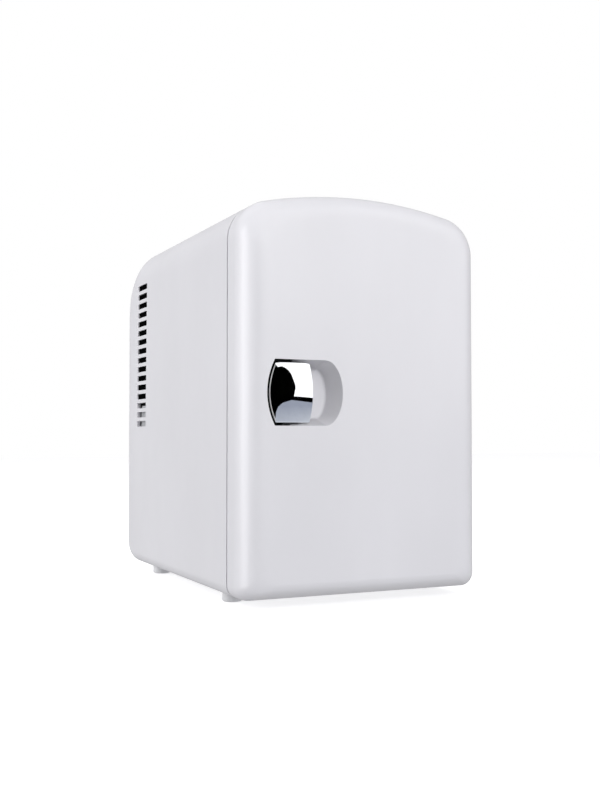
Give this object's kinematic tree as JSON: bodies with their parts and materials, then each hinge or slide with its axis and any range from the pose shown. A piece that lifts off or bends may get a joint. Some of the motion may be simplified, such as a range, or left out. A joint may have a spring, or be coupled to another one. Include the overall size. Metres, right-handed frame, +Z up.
{
  "type": "mini fridge",
  "caption": "Portable box-shaped thermoelectric fridge with arched top, hinged insulated door, chrome pull latch, side vents and fold-down carry handle.",
  "frame": {"origin": "on the floor, under the middle of the bounding box", "axes": "+X to the right seen from the door, -Y out of the door, +Z up"},
  "size_m": [0.168, 0.25, 0.256],
  "materials": {
    "shell_white": "satin",
    "liner_white": "satin",
    "black_plastic": "gloss",
    "chrome": "polished",
    "steel": "satin",
    "aluminium": "satin",
    "foam_white": "matte",
    "seal_grey": "matte",
    "foot_grey": "matte",
    "ceramic_white": "satin",
    "board_green": "satin",
    "housing_grey": "matte",
    "lens_red": "gloss",
    "lens_green": "gloss",
    "lead_red": "satin",
    "lead_black": "satin"
  },
  "bodies": {
    "fridge_body": {"outer_shell": "shell_white", "rear_cover": "shell_white", "hinge_lug_lower": "shell_white", "hinge_lug_upper": "shell_white", "front_frame": "liner_white", "inner_liner": "liner_white", "shelf": "liner_white", "handle_pin_left": "steel", "handle_pin_right": "steel", "rear_screw_1": "steel", "rear_screw_2": "steel", "rear_screw_3": "steel", "rear_screw_4": "steel", "fan_screw_1": "steel", "fan_screw_2": "steel", "fan_screw_3": "steel", "fan_screw_4": "steel", "hinge_pin_lower": "steel", "hinge_pin_upper": "steel", "latch_keeper": "steel", "cold_plate": "aluminium", "cold_block": "aluminium", "heat_sink": "aluminium", "fan_frame": "black_plastic", "mains_inlet": "black_plastic", "battery_inlet": "black_plastic", "switch_body": "black_plastic", "insulation": "foam_white", "peltier_module": "ceramic_white", "power_board": "board_green", "power_housing": "housing_grey", "lens_warm": "lens_red", "lens_cool": "lens_green", "module_lead": "lead_red", "fan_lead": "lead_black", "foot_front_left": "foot_grey", "foot_front_right": "foot_grey", "foot_rear_left": "foot_grey", "foot_rear_right": "foot_grey"},
    "door": {"door_outer": "shell_white", "door_inner": "liner_white", "door_foam": "foam_white", "door_gasket": "seal_grey", "door_bin": "liner_white", "latch_housing": "black_plastic", "latch_pin": "steel", "latch_spring": "steel"},
    "latch_lever": {"latch_lever": "chrome"},
    "latch_tongue": {"latch_tongue": "black_plastic"},
    "fan_rotor": {"fan_rotor": "black_plastic"},
    "mode_switch": {"mode_switch": "black_plastic"},
    "carry_handle": {"carry_handle": "shell_white"}
  },
  "joints": [
    {"name": "door_hinge", "type": "hinge", "parent": "fridge_body", "child": "door", "pos_m": [0.0775, -0.105, 0.124], "axis": [0, 0, 1], "range_deg": [0, 100]},
    {"name": "latch_pull", "type": "hinge", "parent": "door", "child": "latch_lever", "pos_m": [-0.062, -0.1175, 0.131], "axis": [0, 0, -1], "range_deg": [0, 15], "stiffness_Nm_per_rad": 0.15},
    {"name": "latch_slide", "type": "slide", "parent": "door", "child": "latch_tongue", "axis": [1, 0, 0], "range_m": [0, 0.0032]},
    {"name": "mode_slide", "type": "slide", "parent": "fridge_body", "child": "mode_switch", "axis": [0, 0, 1], "range_m": [-0.003, 0.003]},
    {"name": "fan_spin", "type": "hinge", "parent": "fridge_body", "child": "fan_rotor", "pos_m": [0, 0.105, 0.131], "axis": [0, 1, 0], "continuous": true},
    {"name": "carry_handle_fold", "type": "hinge", "parent": "fridge_body", "child": "carry_handle", "pos_m": [0, -0.012, 0.2468], "axis": [1, 0, 0], "range_deg": [0, 90]}
  ],
  "couplings": [
    {"joint": "latch_slide", "follows": "latch_pull", "m_per_rad": 0.01184}
  ]
}
